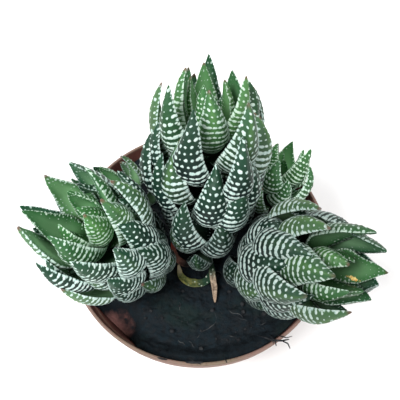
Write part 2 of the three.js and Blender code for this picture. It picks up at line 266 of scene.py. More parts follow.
def bumps(points, size, seed):
    """Value noise from -1 to 1: each point blends the numbers of the corners of its cell."""
    cell = np.floor(points / size)
    inside = points / size - cell
    inside = inside * inside * (3 - 2 * inside)
    total = 0.0
    axes = points.shape[-1]
    for corner in range(2 ** axes):
        step = np.array([(corner >> axis) & 1 for axis in range(axes)], float)
        weight = np.prod(np.where(step == 1, inside, 1 - inside), axis=-1)
        total = total + weight * lattice(cell + step, seed)
    return 2 * total - 1


def stacked(*numbers):
    """Arrays or single numbers as rows of numbers, one row for each place of a grid."""
    return np.stack(np.broadcast_arrays(*numbers), -1)


def skin_noise(along, across, seed):
    """Value noise over a surface, with lumps of one unit in each of its two parameters."""
    return bumps(stacked(along, across), 1.0, seed)


def full_turn(sides):
    """Evenly spaced angles once round, without the last, which is the first again."""
    return np.linspace(0, 2 * np.pi, sides, endpoint=False)


def above_rim(points):
    """Points whose heights are above the rim, in the pot's own heights."""
    return np.array(points, float) + (0, 0, POT_HEIGHT)


def unit(v):
    return v / np.linalg.norm(v)


def units(rows):
    return rows / np.linalg.norm(rows, axis=1)[:, None]


def tube_faces(rings, sides, start, first_pole, last_pole):
    """Quads round a stack of rings, and a fan of triangles from each end ring to its pole."""
    index = start + np.arange(rings * sides).reshape(rings, sides)
    turned = np.roll(index, -1, axis=1)
    quads = np.stack([index[:-1], turned[:-1], turned[1:], index[1:]], axis=-1).reshape(-1, 4)
    foot = np.stack([turned[0], index[0], np.full(sides, first_pole)], axis=-1)
    tip = np.stack([index[-1], turned[-1], np.full(sides, last_pole)], axis=-1)
    return quads, np.concatenate([foot, tip])


def linked(name, data):
    """An object for a mesh, a lamp or a camera, in the scene."""
    thing = bpy.data.objects.new(name, data)
    bpy.context.scene.collection.objects.link(thing)
    return thing


class Shell:
    """Closed tubes gathered into one mesh, with a row of values kept for every point."""

    def __init__(self, channels=()):
        self.channels = channels
        self.points = []
        self.values = {name: [] for name in channels}
        self.quads = []
        self.triangles = []
        self.quad_slots = []
        self.triangle_slots = []
        self.count = 0

    def add_tube(self, rings, poles, values=None, pole_values=None, slot=0):
        """rings is (rows, sides, 3) and poles the two points that close its ends. Without values
        of their own the poles take those of the first point of the ring beside them."""
        rows, sides = rings.shape[:2]
        start = self.count
        pole_index = start + rows * sides
        quads, triangles = tube_faces(rows, sides, start, pole_index, pole_index + 1)
        self.points += [rings.reshape(-1, 3), np.asarray(poles, float)]
        self.quads.append(quads)
        self.triangles.append(triangles)
        self.quad_slots.append(np.full(len(quads), slot))
        self.triangle_slots.append(np.full(len(triangles), slot))
        for name in self.channels:
            ends = pole_values[name] if pole_values else values[name][[0, -1], 0]
            self.values[name] += [values[name].reshape(-1, 3), np.array(ends)]
        self.count = pole_index + 2

    def piece(self, name, materials, slot=None, replaces=()):
        """The mesh as an object in metres that rides with the pot and stands for its solids."""
        mesh = bpy.data.meshes.new(name)
        points = np.concatenate(self.points) * MM
        quads = np.concatenate(self.quads)
        triangles = np.concatenate(self.triangles)
        mesh.vertices.add(len(points))
        mesh.vertices.foreach_set("co", points.astype(np.float32).ravel())
        mesh.loops.add(quads.size + triangles.size)
        loops = np.concatenate([quads.ravel(), triangles.ravel()]).astype(np.int32)
        mesh.loops.foreach_set("vertex_index", loops)
        starts = np.concatenate([
            np.arange(len(quads)) * 4, quads.size + np.arange(len(triangles)) * 3]).astype(np.int32)
        mesh.polygons.add(len(starts))
        mesh.polygons.foreach_set("loop_start", starts)
        slots = np.concatenate(self.quad_slots + self.triangle_slots).astype(np.int32)
        mesh.polygons.foreach_set("material_index", slots)
        mesh.update(calc_edges=True)
        mesh.polygons.foreach_set("use_smooth", np.ones(len(starts), bool))
        for channel in self.channels:
            attribute = mesh.attributes.new(channel, "FLOAT_VECTOR", "POINT")
            data = np.concatenate(self.values[channel]).astype(np.float32)
            attribute.data.foreach_set("vector", data.ravel())
        for look in materials:
            mesh.materials.append(look)
        piece = linked(name, mesh)
        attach(piece, BODY)
        if replaces:
            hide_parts(*replaces)
        return piece


# Stems and leaves

def axis_at(stem, s):
    """Point and directions on the stem's curve, a quadratic through foot, bend and top."""
    foot, bend, top = (above_rim(stem[key]) for key in ("foot", "bend", "top"))
    point = foot * (1 - s) ** 2 + bend * 2 * s * (1 - s) + top * s * s
    along = unit((bend - foot) * (1 - s) + (top - bend) * s)
    first = unit(np.array([1.0, 0, 0]) - along * along[0])
    second = np.cross(along, first)
    return point, along, first, second


def core_radius(stem, s):
    """The stem is slim in the soil, full among its leaves and slim again at its top."""
    return stem["core"] * (0.55 + 0.45 * smooth(0, 0.2, s)) * (1 - 0.55 * s * s)


def leaf_of(stem, i):
    """Leaf i of a stem, from 0 at the oldest: where it grows, its size and its angles."""
    age = i / (stem["leaves"] - 1)
    young = float(clamp01((age - YOUNG_FROM) / (1 - YOUNG_FROM)))
    old = float(clamp01(1 - age / OLD_UNTIL))

    def stray(k, spread):
        return spread * (draw(stem["seed"], i, k) - 0.5)

    root_angle = stem["root_angle"] * mix(1, YOUNG_ROOT_ANGLE, young) + OLD_ROOT_SAG * old
    tip_angle = mix(stem["tip_angle"], YOUNG_TIP_ANGLE, young) + OLD_TIP_SAG * old
    tip_angle += stray(4, TIP_ANGLE_SPREAD)
    length = stem["length"] * mix(1, YOUNG_LENGTH, young ** 2) * mix(1, OLD_LENGTH, old)
    width = stem["width"] * mix(1, YOUNG_WIDTH, young ** 1.5) * mix(1, OLD_WIDTH, old)
    return dict(
        s=mix(stem["bare"], 1, 1 - (1 - age) ** CROWDING),
        turn=stem["phase"] + i * GOLDEN_TURN + stray(1, TURN_SPREAD),
        length=length * (1 + stray(2, LENGTH_SPREAD)),
        width=width * (1 + stray(3, WIDTH_SPREAD)),
        root_angle=math.radians(root_angle),
        tip_angle=math.radians(tip_angle),
        roll=stray(5, ROLL_SPREAD),
        number=i, young=young, old=old,
    )


def leaf_frames(stem, leaf, bend, shares, steps):
    """Places and directions along a leaf at shares of its length.

    The leaf's angle from the stem eases from its root angle to its tip angle as a power of what
    is left of its length, and its middle line is the running sum of steps taken at that angle."""
    point, along, first, second = axis_at(stem, leaf["s"])
    out = first * math.cos(leaf["turn"]) + second * math.sin(leaf["turn"])
    across = -first * math.sin(leaf["turn"]) + second * math.cos(leaf["turn"])
    root = leaf["root_angle"] * (1 - bend)
    tip = leaf["tip_angle"] * (1 - bend)

    def angle_at(t):
        return tip + (root - tip) * (1 - t) ** stem["curl"]

    step = leaf["length"] * (1 - BEND_SHORTENS * bend) / steps
    middles = angle_at((np.arange(steps) + 0.5) / steps)
    far = np.concatenate([[0], np.cumsum(np.sin(middles) * step)])
    high = np.concatenate([[0], np.cumsum(np.cos(middles) * step)])
    knots = np.arange(steps + 1) / steps
    start = point + out * LEAF_FOOT * float(core_radius(stem, leaf["s"]))
    places = (start + out * np.interp(shares, knots, far)[:, None]
              + along * np.interp(shares, knots, high)[:, None])
    angles = angle_at(shares)[:, None]
    back = out * np.cos(angles) - along * np.sin(angles)
    side = across * math.cos(leaf["roll"]) + back * math.sin(leaf["roll"])
    face = back * math.cos(leaf["roll"]) - across * math.sin(leaf["roll"])
    return places, side, face


def half_width(leaf, t):
    """Narrow at its root, at its full width below its middle and tapering to a point."""
    outline = (1 - t ** 1.7) ** 1.1 * (0.38 + 0.62 * smooth(0, 0.45, t))
    return leaf["width"] / 2 * outline / OUTLINE_PEAK + LEAF_EDGE


def back_depth(leaf, t):
    """Thin at its root, at its full depth below its middle and thin again at its tip."""
    filled = smooth(0, 0.45, t)
    return leaf["width"] * LEAF_THICKNESS * (1 - t ** 2.2) * (0.3 + 0.7 * filled) + 2 * LEAF_EDGE


def plain_rings(stem, leaf, bend):
    """The solid's own rings of three points, used to test where a leaf has room."""
    t = LEAF_SHARES
    places, side, face = leaf_frames(stem, leaf, bend, t, CURVE_STEPS)
    half = half_width(leaf, t)
    depth = back_depth(leaf, t) + np.where(t == RIDGE_SHARE, RIDGE_HEIGHT, 0)
    sideways = half[:, None] * np.array([-1, 0, 1])
    backward = depth[:, None] * np.array([0, KEEL, 0])
    return places[:, None] + side[:, None] * sideways[..., None] + face[:, None] * backward[..., None]


def is_clear(name, rings, withered_points):
    """True where a leaf keeps clear of its stem's planes, the soil, the pot and dead leaves."""
    past = rings[1:]
    halfway = (rings[1:] + rings[:-1]) / 2
    points = np.concatenate([past.reshape(-1, 3), halfway.reshape(-1, 3), past.mean(axis=1)])
    reach = np.hypot(points[:, 0], points[:, 1])
    height = points[:, 2]
    if np.any((reach < OVER_SOIL) & (height < SOIL_TOP + CLEAR_OF_SOIL)):
        return False
    over_rim = (reach >= OVER_SOIL) & (reach < OVER_RIM)
    if np.any(over_rim & (height < POT_HEIGHT + CLEAR_OF_RIM)):
        return False
    distance = np.linalg.norm(points[:, None] - withered_points[None], axis=-1)
    if distance.min() < WITHERED_ROOM:
        return False
    for near, far, point, normal in DIVIDES:
        if name not in (near, far):
            continue
        side = (points - above_rim(point)) @ unit(np.array(normal, float))
        if np.any((side if name == near else -side) <= CLEAR_OF_DIVIDE):
            return False
    return True


def pitch_scale(length):
    return math.sqrt(length / USUAL_LENGTH)


def band_pitch(length):
    """A leaf's pitch of bands at its root, and how much it grows from there to the tip."""
    scale = pitch_scale(length)
    return BAND_PITCH_ROOT * scale, (BAND_PITCH_TIP - BAND_PITCH_ROOT) * scale


def band_count(length, t):
    """Bands between the root and share t, when their pitch grows evenly from root to tip."""
    first, growth = band_pitch(length)
    return length / growth * np.log(1 + growth * t / first)


def band_share(length, bands):
    """The share of the leaf's length that lies before a number of bands."""
    first, growth = band_pitch(length)
    return first / growth * (np.exp(bands * growth / length) - 1)


def band_pattern(bands, across, dotted):
    """1 on the middle line of a band, 0 at its edge and less beyond it. The dotted share cuts the
    bands across into round dots, and each band's dots are shifted from those of its neighbours."""
    row = np.round(bands)
    shifted = across + ROW_SHIFT * np.sin(ROW_TURN * row)
    from_dot = (shifted - np.round(shifted)) * dotted / DOT_WIDTH
    from_band = (bands - row) / BAND_WIDTH
    return 1 - np.sqrt(from_dot ** 2 + from_band ** 2)


def add_leaf(shell, stem, leaf, bend):
    """A fleshy banded leaf as a closed tube.

    Its rows follow the bands. Round each row the back is a full arch, deepest at the keel, and
    the upper face is a shallow hollow. Where the band pattern is white the skin stands out."""
    seed = stem["seed"]
    number = leaf["number"]
    length = leaf["length"] * (1 - BEND_SHORTENS * bend)
    total = float(band_count(length, 1.0))
    rows = int(math.ceil(total * ROWS_PER_BAND))
    t = band_share(length, total * np.arange(rows) / rows)
    places, side, face = leaf_frames(stem, leaf, bend, t, CURVE_STEPS * 4)
    lean = 2 * SWAY * (draw(seed, number, 9) - 0.5) * smooth(0.25, 1, t) ** 1.5
    lean = lean + 0.3 * SWAY * np.sin(9 * t + 6 * draw(seed, number, 10)) * smooth(0.1, 0.4, t)
    places = places + side * lean[:, None]
    cap = np.sqrt(1 - clamp01((t - TIP_CAP_FROM) / TIP_CAP_RUN) ** 2)
    half = half_width(leaf, t) * cap
    depth = back_depth(leaf, t) * cap

    back_turn = np.linspace(0, np.pi, BACK_COLUMNS + 1)
    face_turn = np.linspace(np.pi, 0, FACE_COLUMNS + 1)[1:-1]
    u = np.concatenate([-np.cos(back_turn), -np.cos(face_turn)])[None]
    arc = np.concatenate([2 * back_turn / np.pi - 1, -np.cos(face_turn)])[None]
    upper = np.zeros_like(u)
    upper[:, BACK_COLUMNS + 1:] = 1
    upper[:, [0, BACK_COLUMNS]] = 0.5
    on_face = upper == 1
    t = t[:, None]
    half = half[:, None]
    depth = depth[:, None]

    arch = (1 - np.abs(u) ** 2.4) ** 0.72
    keel = 0.12 * np.exp(-(u / 0.16) ** 2) * smooth(0.45, 0.8, t)
    hollow = 0.16 * (1 - u * u) * smooth(0.02, 0.3, t) * (1 - 0.75 * t)
    lumps = skin_noise(t * 4 + number * 1.7, arc * 1.1 + seed, 9)
    waves = skin_noise(t * 9 + number, np.sign(u) * 3.0, 10)
    backward = np.where(on_face, 2 * half * hollow, depth * (1.03 * arch + keel))
    backward = backward * (1 + 0.09 * lumps) + 0.3 * waves * np.abs(u) ** 3 * smooth(0.15, 0.4, t)
    sideways = half * u * (1 + 0.05 * waves)

    reach = half + 0.4 * depth
    across = arc * reach / (DOT_PITCH * pitch_scale(leaf["length"]))
    stray_bands = draw(seed, number, 6) + ROWS_PER_LEAF * number
    wander = skin_noise(t * 5 + number * 3.1, arc * 1.7 + seed, 7)
    bands = (band_count(length, t) - 0.3 * arc * arc + 0.22 * wander + stray_bands)
    switch = stem["banded"] + mix(-0.13, 0.13, draw(seed, number, 7))
    dotted = clamp01(smooth(0.5 + switch, 0.88 + switch, t)
                     + 1.2 * (1 - np.abs(arc) * 1.15) * smooth(0.3 + switch, 0.62 + switch, t))
    dotted = np.maximum(dotted, mix(BEADED_ROOT, BEADED_MIDDLE, smooth(0, 0.5, t)))
    edge = np.abs(u)
    thin = 0.12 * skin_noise(t * 3 + number, arc * 2.3 - number, 8)
    back_level = thin + 0.12 * leaf["young"] + 0.24 * smooth(0.4, 1, t)
    clear_middle = 0.8 * (1 - smooth(0.35, 0.8, edge)) * (1 - smooth(0.55, 0.95, t))
    face_level = 0.36 + thin + clear_middle
    level = np.where(on_face, face_level, back_level)
    dotted = np.where(on_face, 1.0, dotted)

    pattern = band_pattern(bands, across, dotted)
    rise = TUBERCLE_HEIGHT * smooth(level - 0.6, level + 0.6, pattern) * smooth(0.02, 0.15, t)
    rise = rise * np.where(on_face, 0.3, 1.0) * np.minimum(1, half / 1.5)
    teeth = MARGIN_HEIGHT * smooth(0.93, 1.0, edge) * (0.6 + 0.4 * np.cos(2 * np.pi * bands * 1.5))
    out_side = np.where(on_face, 0, u) * (0.5 * rise + teeth * np.minimum(1, half / 2))
    out_back = np.where(on_face, -rise, rise * arch)

    rings = (places[:, None] + side[:, None] * (sideways + out_side)[..., None]
             + face[:, None] * (backward + out_back)[..., None])
    tone = draw(seed, number, 8)
    # Below zero on the old low leaves: that part carries the painted shade at each rosette's foot
    fresh = clamp01(leaf["young"] + stem["fresh"]) - leaf["old"]
    kept = stacked(bands, across, dotted, level, edge, upper, t, tone, fresh)
    values = dict(zip(shell.channels, np.split(kept, len(shell.channels), axis=-1)))
    tip, tip_side, tip_face = leaf_frames(stem, leaf, bend, np.array([0.9995]), CURVE_STEPS * 4)
    poles = [rings[0].mean(axis=0), tip[0] + tip_side[0] * lean[-1] + tip_face[0] * LEAF_EDGE]
    shell.add_tube(rings, poles, values)


def add_stem_core(shell, stem):
    """The stem under its leaves: circles along its curve, roughened by noise."""
    s = np.linspace(0, 1, STEM_RINGS)
    turn = full_turn(STEM_SIDES)
    rings = []
    for share in s:
        point, _, first, second = axis_at(stem, share)
        radius = core_radius(stem, share) * np.ones_like(turn)
        ring = point + radius[:, None] * (first * np.cos(turn)[:, None] + second * np.sin(turn)[:, None])
        swell = 0.25 * bumps(ring, 1.6, stem["seed"])
        rings.append(ring + (ring - point) / radius[:, None] * swell[:, None])
    rings = np.array(rings)
    values = {name: np.zeros(rings.shape) for name in shell.channels}
    shell.add_tube(rings, [rings[0].mean(axis=0), rings[-1].mean(axis=0)], values, slot=1)


def leafy_stem(name, materials, withered_points):
    """A stem and its leaves. A leaf without room is bent upright step by step, or left out."""
    stem = STEMS[name]
    shell = Shell(LEAF_CHANNELS)
    add_stem_core(shell, stem)
    for i in range(stem["leaves"]):
        leaf = leaf_of(stem, i)
        for k in range(BEND_TRIES):
            if is_clear(name, plain_rings(stem, leaf, k * BEND_STEP), withered_points):
                add_leaf(shell, stem, leaf, k * BEND_STEP)
                break
    return shell.piece(name + "_fine", materials, stem["slot"], (name,))


# Withered leaves

def withered_curve(points, shares):
    """A centripetal spline through the points: between two of them a cubic, whose slopes come
    from the square roots of the gaps between neighbours."""
    p = np.array(points, float) + (0, 0, SOIL_TOP)
    p = np.concatenate([[2 * p[0] - p[1]], p, [2 * p[-1] - p[-2]]])
    gap = np.sqrt(np.linalg.norm(np.diff(p, axis=0), axis=1))
    spot = np.asarray(shares, float) * (len(points) - 1)
    k = np.minimum(np.floor(spot).astype(int), len(points) - 2)
    w = (spot - k)[:, None]
    g0, g1, g2 = (gap[k + j][:, None] for j in range(3))
    a, b, c, d = (p[k + j] for j in range(4))
    start = ((b - a) / g0 - (c - a) / (g0 + g1) + (c - b) / g1) * g1
    end = ((c - b) / g1 - (d - b) / (g1 + g2) + (d - c) / g2) * g1
    square = -3 * b + 3 * c - 2 * start - end
    cube = 2 * b - 2 * c + start + end
    return b + start * w + square * w ** 2 + cube * w ** 3


def withered_leaf(name):
    """A dry blade: a thin strip along its curve, its edges rolled up and its skin wrinkled
    lengthwise by noise, thinning out to a point."""
    leaf = WITHERED[name]
    t = np.linspace(0, 1, WITHERED_ROWS)
    places = withered_curve(leaf["points"], t)
    ahead = withered_curve(leaf["points"], np.minimum(t + 0.01, 1))
    behind = withered_curve(leaf["points"], np.maximum(t - 0.01, 0))
    up = np.array([0, 0, 1.0])
    side = units(np.cross(units(ahead - behind), up))
    taper = np.sin(np.pi * (0.15 + 0.85 * t))
    half = (leaf["width"] / 2 * (0.22 + 0.78 * np.maximum(taper, 0) ** 0.8))[:, None]
    columns = WITHERED_COLUMNS
    u = np.concatenate([np.linspace(-1, 1, columns), np.linspace(1, -1, columns)[1:-1]])[None]
    over = np.concatenate([np.ones(columns), -np.ones(columns - 2)])[None]
    over[:, [0, columns - 1]] = 0
    seed = len(name)
    grain = skin_noise(t[:, None] * 3 + seed, u * 4.5, seed)
    fold = skin_noise(t[:, None] * 9, u * 1.2 + seed, seed + 1)
    roll = 0.35 * half * np.abs(u) ** 1.6 * (1 + 0.35 * fold)
    thin = WITHERED_THICKNESS / 2 * (1 - 0.75 * u ** 4)
    height = roll + over * thin + 0.22 * grain * (1 - u * u) + 0.1 * fold
    sideways = half * u * (1 + 0.08 * fold)
    rings = places[:, None] + side[:, None] * sideways[..., None] + up * height[..., None]
    shell = Shell(("strip",))
    strip = stacked(t[:, None], u, 0.0)
    shell.add_tube(rings[:, ::-1], [rings[0].mean(axis=0), rings[-1].mean(axis=0)],
                   {"strip": strip[:, ::-1]}, {"strip": [strip[0, 0], strip[-1, 0]]})
    return shell.piece(name + "_fine", [withered_look(leaf)], leaf["slot"], (name,))


# Pot and soil

def rounded(profile, radius):
    """Each corner of a profile is replaced by a short curve that starts and ends a radius away,
    or less where the neighbouring corner is close."""
    points = np.array(profile, float)
    out = [points[:1]]
    for before, corner, after in zip(points[:-2], points[1:-1], points[2:]):
        start, end = (
            corner + unit(way) * min(radius, 0.45 * np.linalg.norm(way))
            for way in (before - corner, after - corner))
        w = np.linspace(0, 1, CORNER_STEPS + 1)[:, None]
        out.append(start * (1 - w) ** 2 + corner * 2 * w * (1 - w) + end * w ** 2)
    out.append(points[-1:])
    return np.concatenate(out)


def turned(profile, sides):
    """A profile of radius and height turned about Z. Its first and last points are poles."""
    turn = full_turn(sides)
    r = profile[1:-1, 0][:, None]
    z = np.broadcast_to(profile[1:-1, 1][:, None], (len(profile) - 2, sides))
    rings = np.stack([r * np.cos(turn), r * np.sin(turn), z], -1)
    return rings, np.array([[0, 0, profile[0, 1]], [0, 0, profile[-1, 1]]])


def wall_inside(z):
    """Radius of the wall's inner face under the lip, at a height."""
    return BASE_RADIUS + z / LIP_FOOT * (WALL_TOP - BASE_RADIUS) - WALL


def pot_inside(z):
    """Radius of the pot's inner face at a height, with its step under the lip."""
    heights = [FLOOR, LIP_FOOT - LIP_STEP, LIP_FOOT, POT_HEIGHT]
    radii = [wall_inside(FLOOR), wall_inside(LIP_FOOT), RIM_RADIUS - LIP_DRAW - WALL, RIM_RADIUS - WALL]
    return np.interp(z, heights, radii)


def pot_piece(look):
    """The pot as one turned profile, with its drainage holes cut through the floor."""
    profile = rounded([
        (0, 0),
        (BASE_RADIUS - BASE_CHAMFER, 0),
        (BASE_RADIUS, BASE_CHAMFER),
        (WALL_TOP, LIP_FOOT),
        (RIM_RADIUS - LIP_DRAW, LIP_FOOT),
        (RIM_RADIUS, POT_HEIGHT - EDGE_ROUND),
        (RIM_RADIUS - EDGE_ROUND, POT_HEIGHT),
        (RIM_RADIUS - WALL + EDGE_ROUND / 2, POT_HEIGHT),
        (RIM_RADIUS - WALL, POT_HEIGHT - EDGE_ROUND),
        (RIM_RADIUS - LIP_DRAW - WALL, LIP_FOOT),
        (WALL_TOP - WALL, LIP_FOOT - LIP_STEP),
        (wall_inside(FLOOR), FLOOR),
        (0, FLOOR),
    ], CORNER_ROUND)
    rings, poles = turned(profile, POT_SIDES)
    shell = Shell()
    shell.add_tube(rings, poles)
    pot = shell.piece("pot_fine", [look], "pot", ("pot",))
    holes = Shell()
    drill = [(0, DRILL_FOOT), (DRAIN_RADIUS, DRILL_FOOT), (DRAIN_RADIUS, DRILL_TOP), (0, DRILL_TOP)]
    rings, poles = turned(np.array(drill), DRAIN_SIDES)
    for i in range(DRAIN_COUNT):
        angle = (i + 0.5) / DRAIN_COUNT * 2 * math.pi
        centre = DRAIN_CIRCLE * np.array([math.cos(angle), math.sin(angle), 0])
        holes.add_tube(rings + centre, poles + centre)
    cutter = holes.piece("drills", [])
    cut = pot.modifiers.new("drain_holes", "BOOLEAN")
    cut.operation = "DIFFERENCE"
    cut.object = cutter
    cut.solver = "EXACT"
    bpy.context.view_layer.update()
    finished = bpy.data.meshes.new_from_object(pot.evaluated_get(bpy.context.evaluated_depsgraph_get()))
    pot.modifiers.clear()
    pot.data = finished
    bpy.data.objects.remove(cutter)
    return pot


def soil_height(x, y):
    """The solid's soil, low mounds and a pocket in front on the left, with crumbs over it."""
    mound = 0.7 * np.sin(x / 9 + 1.3) * np.cos(y / 11 - 0.4)
    crumbs = 0.35 * np.sin(x / 2.7 + y / 4.1) * np.sin(y / 3.3 - x / 5.9)
    reach = np.hypot(x, y) / wall_inside(SOIL_TOP)
    away = np.mod(np.arctan2(y, x), 2 * np.pi) - POCKET_ANGLE
    pocket = np.exp(-(away / POCKET_SPREAD) ** 2) * smooth(0.72, 1, reach)
    bank = SOIL_BANK * smooth(SOIL_BANK_FROM, 1, reach)
    return SOIL_TOP + (mound + crumbs) * smooth(0, 0.2, reach) + bank - POCKET_DEPTH * pocket


def crumb_height(x, y):
    """Soil crumbs of three sizes: noise folded so that rounded lumps meet in sharp creases."""
    spots = np.stack([x, y], -1)
    warped = spots + 0.9 * np.stack([bumps(spots, 3.1, 21), bumps(spots, 3.1, 22)], -1)
    large = 1 - 2 * np.abs(bumps(warped, 4.2, 23))
    middle = 1 - 2 * np.abs(bumps(warped, 1.9, 24))
    small = 1 - 2 * np.abs(bumps(spots, 0.95, 25))
    return 0.55 * large + 0.38 * middle + 0.2 * small - 0.35


def ground(x, y):
    return soil_height(x, y) + crumb_height(x, y)


def soil_piece(look):
    """A round plug: its top is the height of the soil over a polar grid that ends just short of
    the pot's wall, and its side and bottom follow the pot's inside."""
    turn = full_turn(SOIL_SIDES)
    cos = np.cos(turn)
    sin = np.sin(turn)
    edge = np.full(SOIL_SIDES, pot_inside(SOIL_TOP + SOIL_BANK))
    for settling in range(4):
        edge = pot_inside(soil_height(edge * cos, edge * sin)) - SOIL_GAP
    bottom = FLOOR + SOIL_GAP
    rings = []
    for share in (0, 0.25, 0.5, 0.75):
        z = mix(bottom, SOIL_TOP + SOIL_BANK - POCKET_DEPTH - 3, share)
        radius = pot_inside(z) - SOIL_GAP
        rings.append(np.stack([radius * cos, radius * sin, z * np.ones_like(turn)], -1))
    for share in np.linspace(1, 0.012, SOIL_RINGS):
        x = edge * share * cos
        y = edge * share * sin
        rings.append(np.stack([x, y, ground(x, y)], -1))
    rings = np.array(rings)
    shell = Shell()
    shell.add_tube(rings, [[0, 0, bottom], rings[-1].mean(axis=0)])
    return shell.piece("soil_fine", [look], "soil", ("soil",))


def thread(shell, points, radius, slot):
    """A thin round tube along points, slimmer towards both of its ends."""
    turn = full_turn(THREAD_SIDES)[:, None]
    tangent = units(np.gradient(points, axis=0))
    side = units(np.cross(tangent, (0.0, 0.0, 1.0)))
    other = np.cross(tangent, side)
    slim = radius * np.sqrt(np.sin(np.pi * np.linspace(0.06, 0.94, len(points))))
    rings = points[:, None] + slim[:, None, None] * (
        side[:, None] * np.cos(turn) + other[:, None] * np.sin(turn))
    shell.add_tube(rings, [points[0], points[-1]], slot=slot)


def scattered(i, k):
    """A place on the soil for bit i of the litter, evenly drawn over a disc."""
    turn = 2 * math.pi * draw(LITTER_SEED, i, k)
    reach = LITTER_REACH * math.sqrt(draw(LITTER_SEED, i, k + 1))
    return reach * math.cos(turn), reach * math.sin(turn)


def fibre(shell, i):
    """A root fibre that wanders over the soil: its heading turns evenly and sways."""
    x, y = scattered(i, 1)
    length = mix(4, 17, draw(LITTER_SEED, i, 3) ** 2)
    share = np.linspace(0, 1, 16)
    heading = 2 * math.pi * draw(LITTER_SEED, i, 4) + 2.6 * (draw(LITTER_SEED, i, 5) - 0.5) * share
    heading = heading + 0.5 * np.sin(6 * share + 6 * draw(LITTER_SEED, i, 6))
    x = x + length / len(share) * np.cumsum(np.cos(heading))
    y = y + length / len(share) * np.cumsum(np.sin(heading))
    inward = np.minimum(1, LITTER_REACH / np.hypot(x, y))
    x = x * inward
    y = y * inward
    thread(shell, np.stack([x, y, ground(x, y) + 0.4 * FIBRE_RADIUS], -1), FIBRE_RADIUS, 0)


def crumb(shell, i):
    """A lump of soil: a ball of three rings, each point pushed in or out."""
    x, y = scattered(i, 11)
    size = mix(0.35, 1.25, draw(LITTER_SEED, i, 13) ** 3)
    rise = np.linspace(-0.7, 0.7, 3)[:, None]
    turn = full_turn(CRUMB_SIDES)
    push = size * (0.7 + 0.6 * lattice(stacked(rise, turn), LITTER_SEED + i))
    flat = push * np.sqrt(1 - rise ** 2)
    place = np.array([x, y, float(ground(x, y)) + 0.25 * size])
    rings = place + np.stack([flat * np.cos(turn), flat * np.sin(turn), 0.75 * push * rise], -1)
    shell.add_tube(rings, [place - (0, 0, 0.7 * size), place + (0, 0, 0.7 * size)], slot=1)


def litter_piece(looks):
    """Fibres and crumbs on the soil, and the twigs at the rim, their corners eased by averaging."""
    shell = Shell()
    for i in range(FIBRE_COUNT):
        fibre(shell, i)
    for i in range(CRUMB_COUNT):
        crumb(shell, i)
    for radius, points in RIM_TWIGS:
        corners = above_rim(points)
        share = np.linspace(0, len(corners) - 1, 5 * len(corners))
        path = np.stack([np.interp(share, np.arange(len(corners)), corners[:, k]) for k in range(3)], -1)
        path[1:-1] = (path[:-2] + path[1:-1] + path[2:]) / 3
        thread(shell, path, radius, 1)
    return shell.piece("litter", looks, "soil")


# Materials

def paint(red, green, blue):
    """A colour from screen values of 0 to 255 to the linear values that the shader takes."""
    screen = np.array([red, green, blue]) / 255
    linear = np.where(screen <= 0.04045, screen / 12.92, ((screen + 0.055) / 1.055) ** 2.4)
    return (*linear, 1.0)


class Value:
    """A number or colour that the shader works out, so that a finish is written as plain sums."""

    def __init__(self, look, socket):
        self.look = look
        self.socket = socket

    def __add__(self, other):
        return self.look.calc("ADD", self, other)

    def __sub__(self, other):
        return self.look.calc("SUBTRACT", self, other)

    def __rsub__(self, other):
        return self.look.calc("SUBTRACT", other, self)

    def __mul__(self, other):
        return self.look.calc("MULTIPLY", self, other)

    def __truediv__(self, other):
        return self.look.calc("DIVIDE", self, other)


